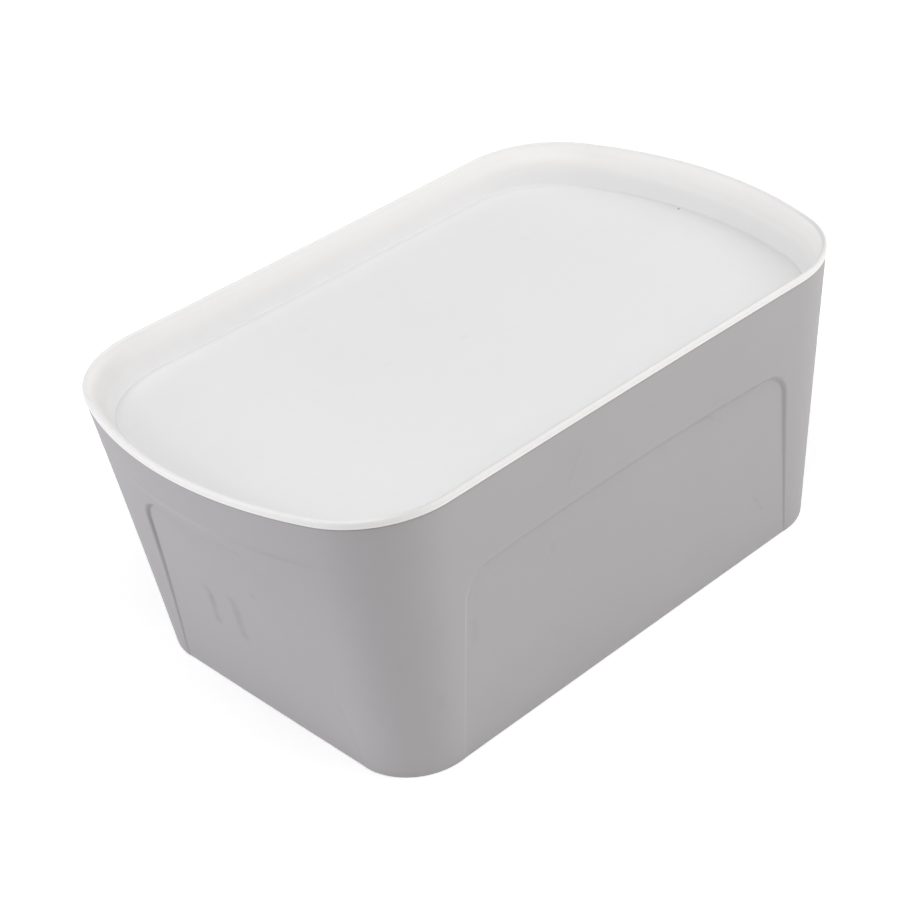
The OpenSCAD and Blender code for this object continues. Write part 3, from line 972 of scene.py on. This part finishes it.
FLOOR_SPECKS = (
    ((0.1382, 0.0082), (0.1382, 0.0086)),
)
# Marks on each wall, with their reach and their tone.
END_MARKS = ((END_SCUFFS, 0.002, -0.07), (END_RUBS, 0.0042, -0.09), (END_SPOTS, 0.003, -0.03))
SIDE_MARKS = ((SIDE_SCRATCHES, 0.001, -0.04), (SIDE_SMUDGES, 0.003, -0.03))
# Where the marks start to show and show in full: along X on the end and along Y on the side.
MARKED_END = (-0.105, -0.112)
MARKED_SIDE = (-0.066, -0.072)
# Size of the marks' ragged outline, and how far it strays on each wall.
RAG_SIZE = 0.002
END_RAG = 0.004
SIDE_RAG = 0.002
# What any wear on the tub adds to its roughness.
WORN_DULL = 0.12
# Reach of the spots and specks on the tray's floor, and what a spot adds to the level and roughness.
SPOT_REACH = 0.0026
SPECK_REACH = 0.0007
SPOT_TONE, SPOT_DULL = -0.03, 0.1


def tub_plastic(finish):
    """Grey satin polypropylene: fine grain, painted highlight and shade on the steps round the panels and
    along the ends' ledge line, painted shade in the gap under the lid, scuffs and handling marks.
    """
    look = Finish("grey_polypropylene")
    cloud, mottle, grain = look.pigment(finish)
    tones, dulls = look.patches(TUB_PATCHES, {
        "x": look.x,
        "y": look.y,
        "z": look.z,
        "ends": look.math("ABSOLUTE", look.x),
        "step": look.attribute("panel_step"),
        "mottle": mottle,
    })

    ragged = look.noise(RAG_SIZE)
    worn = 0.0
    for along, rag, facing, wall, marks in (
        (look.y, END_RAG, look.x, MARKED_END, END_MARKS),
        (look.x, SIDE_RAG, look.y, MARKED_SIDE, SIDE_MARKS),
    ):
        face = look.face(look.total(along, ((ragged, rag),)), look.z)
        on_wall = look.within(facing, wall)
        for runs, reach, tone in marks:
            mark = look.product(look.marks(face, runs, reach), on_wall)
            worn = look.math("MAXIMUM", worn, mark)
            tones.append((mark, tone))
    dulls.append((worn, WORN_DULL))

    level = look.total(1.0, ((cloud, 0.06), (mottle, 0.035), (grain, 0.04)), tones)
    roughness = look.total(finish.tub_roughness, ((cloud, 0.1), (mottle, 0.12), (grain, 0.1)), dulls)
    # Painted shade in the gap under the lid's edge darkens and warms the top of the tub.
    gap = look.within(look.z, [TUB_HEIGHT - drop for drop in GAP_SHADE])
    gap = look.product(gap, finish.gap_shade_share)
    paint = look.blend(gap, look.scaled(finish.tub_colour, level), (*finish.gap_shade_colour, 1))
    return look.set(Base_Color=paint, Roughness=roughness, Normal=look.moulded(finish, grain))


def lid_plastic(finish, tray):
    """White satin polypropylene, with a painted glow on its outer edge, painted light on its walls and
    painted shade in its crease and in patches.
    """
    look = Finish("white_polypropylene")
    cloud, mottle, grain = look.pigment(finish)
    section = look.attribute("section")
    base = look.ramp(section, [(place, getattr(finish, name)) for place, name in LID_SHADES])
    tones, dulls = look.patches(LID_PATCHES, {"x": look.x, "y": look.y, "section": section})

    face = look.face(look.x, look.y)
    on_floor = look.within(section, TRAY_FLOOR)
    spots = look.product(look.marks(face, FLOOR_SPOTS, SPOT_REACH), on_floor)
    specks = look.product(look.marks(face, FLOOR_SPECKS, SPECK_REACH), on_floor)
    # Painted shade on the tray's floor along its left wall.
    away = look.vector("LENGTH", look.vector("SUBTRACT", face, (-tray.end_centre, 0, 0)))
    left_shade = look.within(away, [tray.end_radius - gap for gap in LEFT_SHADE])
    tones += [(spots, SPOT_TONE), (look.product(left_shade, on_floor), LEFT_SHADE_TONE)]
    dulls.append((spots, SPOT_DULL))

    level = look.total(1.0, ((cloud, 0.03), (mottle, 0.02), (grain, 0.03)), tones)
    roughness = look.total(finish.lid_roughness, ((cloud, 0.12), (mottle, 0.12), (grain, 0.08)), dulls)
    paint = look.blend(specks, look.scaled(base, level), (*finish.speck_colour, 1))
    return look.set(Base_Color=paint, Roughness=roughness, Normal=look.moulded(finish, grain))


def floor_paper(stage):
    """Pale paper that the camera sees a little brighter than it is lit."""
    look = Finish("floor_paper")
    path = look.nodes.new("ShaderNodeLightPath")
    away = look.spread(look.vector("LENGTH", look.place), stage.far_start, stage.far_full)
    lift = look.total(stage.floor_lift, (), ((away, stage.far_lift),))
    lift = look.product(path.outputs["Is Camera Ray"], lift)
    glow = look.node("ShaderNodeEmission", {"Strength": lift}).outputs[0]
    look.set(Base_Color=(*stage.floor_colour, 1), Roughness=1.0, Specular_IOR_Level=0.0)
    both = look.node("ShaderNodeAddShader", {0: look.shader.outputs[0], 1: glow}).outputs[0]
    look.wire(both, look.nodes["Material Output"].inputs["Surface"])
    return look.material


# ---------------------------------------------------------------- stage

# Width of the camera's sensor in millimetres, and the nearest and farthest that it sees.
SENSOR_WIDTH = 36
CLIP = (0.01, 50)
# Soft square lamps: the side of each, the point that they face, and the name, place, power and tint.
LAMP_SIZE = 1.0
LAMP_AIM = (0, 0, 0.06)
LAMPS = (
    ("left_lamp", (-1.318, 0.761, 0.494), 9.06, (0.955, 0.955, 1.0)),
    ("right_low_lamp", (0.761, -1.318, 0.494), 3.77, (1, 1, 1)),
    ("right_high_lamp", (0.8, -0.8, 1.131), 9.77, (1, 1, 1)),
    ("top_lamp", (-0.547, 0.0, 1.504), 7.08, (1, 1, 1)),
)


def camera_matrix(stage):
    """Place and turn of the camera."""
    azimuth, elevation, roll = (math.radians(a) for a in (stage.azimuth, stage.elevation, stage.roll))
    back = Vector((
        math.sin(azimuth) * math.cos(elevation),
        -math.cos(azimuth) * math.cos(elevation),
        math.sin(elevation),
    ))
    right = Vector((0, 0, 1)).cross(back).normalized()
    up = back.cross(right)
    turned_right = math.cos(roll) * right + math.sin(roll) * up
    turned_up = math.cos(roll) * up - math.sin(roll) * right
    matrix = Matrix((turned_right, turned_up, back)).transposed().to_4x4()
    matrix.translation = Vector((0, 0, stage.target)) + back * stage.distance
    return matrix


def add_camera(scene, stage):
    """Adds the camera that the scene is seen through."""
    data = bpy.data.cameras.new("camera")
    data.sensor_width = SENSOR_WIDTH
    data.lens = stage.lens
    data.shift_x = stage.shift_x
    data.shift_y = stage.shift_y
    data.clip_start, data.clip_end = CLIP
    camera = bpy.data.objects.new("camera", data)
    camera.matrix_world = camera_matrix(stage)
    scene.collection.objects.link(camera)
    scene.camera = camera


def add_surroundings(scene, stage):
    """Adds even light from all round, and plain white where the camera or a gloss sees past the floor."""
    world = bpy.data.worlds.new("surroundings")
    world.use_nodes = True
    nodes, links = world.node_tree.nodes, world.node_tree.links
    level = nodes["Background"]
    level.inputs["Color"].default_value = (1, 1, 1, 1)
    level.inputs["Strength"].default_value = stage.world_level
    white = nodes.new("ShaderNodeBackground")
    white.inputs["Color"].default_value = (1, 1, 1, 1)
    path = nodes.new("ShaderNodeLightPath")
    pick = nodes.new("ShaderNodeMixShader")
    seen = path.outputs["Is Camera Ray"]
    for kind in ("Is Glossy Ray", "Is Transmission Ray"):
        either = nodes.new("ShaderNodeMath")
        either.operation = "MAXIMUM"
        links.new(seen, either.inputs[0])
        links.new(path.outputs[kind], either.inputs[1])
        seen = either.outputs[0]
    links.new(seen, pick.inputs["Fac"])
    links.new(level.outputs[0], pick.inputs[1])
    links.new(white.outputs[0], pick.inputs[2])
    links.new(pick.outputs[0], nodes["World Output"].inputs["Surface"])
    scene.world = world


def add_floor(scene, stage):
    """Adds the square of pale floor that the box stands on."""
    bm = bmesh.new()
    bmesh.ops.create_grid(bm, x_segments=1, y_segments=1, size=stage.floor_size / 2)
    mesh = bpy.data.meshes.new("floor")
    bm.to_mesh(mesh)
    bm.free()
    floor = bpy.data.objects.new("floor", mesh)
    scene.collection.objects.link(floor)
    mesh.materials.append(floor_paper(stage))


def add_lamp(scene, name, place, power, tint):
    """Adds a soft square lamp that faces the box."""
    data = bpy.data.lights.new(name, "AREA")
    data.size = LAMP_SIZE
    data.energy = power
    data.color = tint
    lamp = bpy.data.objects.new(name, data)
    lamp.location = place
    lamp.rotation_euler = (Vector(LAMP_AIM) - Vector(place)).to_track_quat("-Z", "Y").to_euler()
    scene.collection.objects.link(lamp)


class CABLEBOX_OT_stage(bpy.types.Operator):
    """Set up the pale floor, the soft lamps, the even surroundings and the camera"""

    bl_idname = "cablebox.stage"
    bl_label = "Stage"

    def execute(self, context):
        scene = context.scene
        stage = scene.box_stage
        add_camera(scene, stage)
        scene.view_settings.view_transform = "Standard"
        add_surroundings(scene, stage)
        add_floor(scene, stage)
        for lamp in LAMPS:
            add_lamp(scene, *lamp)
        return {"FINISHED"}


class CABLEBOX_PT_build(bpy.types.Panel):
    """Lists the pieces and the stage"""

    bl_label = "Cable box"
    bl_idname = "CABLEBOX_PT_build"
    bl_space_type = "VIEW_3D"
    bl_region_type = "UI"
    bl_category = "Cable box"

    def draw(self, context):
        for operator in OPERATORS:
            self.layout.operator(operator.bl_idname)


GROUPS = {
    "box_plan": PlanSizes,
    "box_tub": TubSizes,
    "box_panel": PanelSizes,
    "box_lid": LidSizes,
    "box_stage": StageSizes,
    "box_finish": Finishes,
}
OPERATORS = (CABLEBOX_OT_tub, CABLEBOX_OT_lid, CABLEBOX_OT_stage)


def register():
    for group in GROUPS.values():
        bpy.utils.register_class(group)
    for name, group in GROUPS.items():
        setattr(bpy.types.Scene, name, PointerProperty(type=group))
    for operator in OPERATORS:
        bpy.utils.register_class(operator)
    bpy.utils.register_class(CABLEBOX_PT_build)


def unregister():
    bpy.utils.unregister_class(CABLEBOX_PT_build)
    for operator in reversed(OPERATORS):
        bpy.utils.unregister_class(operator)
    for name in GROUPS:
        delattr(bpy.types.Scene, name)
    for group in reversed(list(GROUPS.values())):
        bpy.utils.unregister_class(group)


def main():
    """Builds the pieces and the stage."""
    register()
    bpy.ops.cablebox.tub()
    bpy.ops.cablebox.lid()
    bpy.ops.cablebox.stage()


if __name__ == "__main__":
    main()
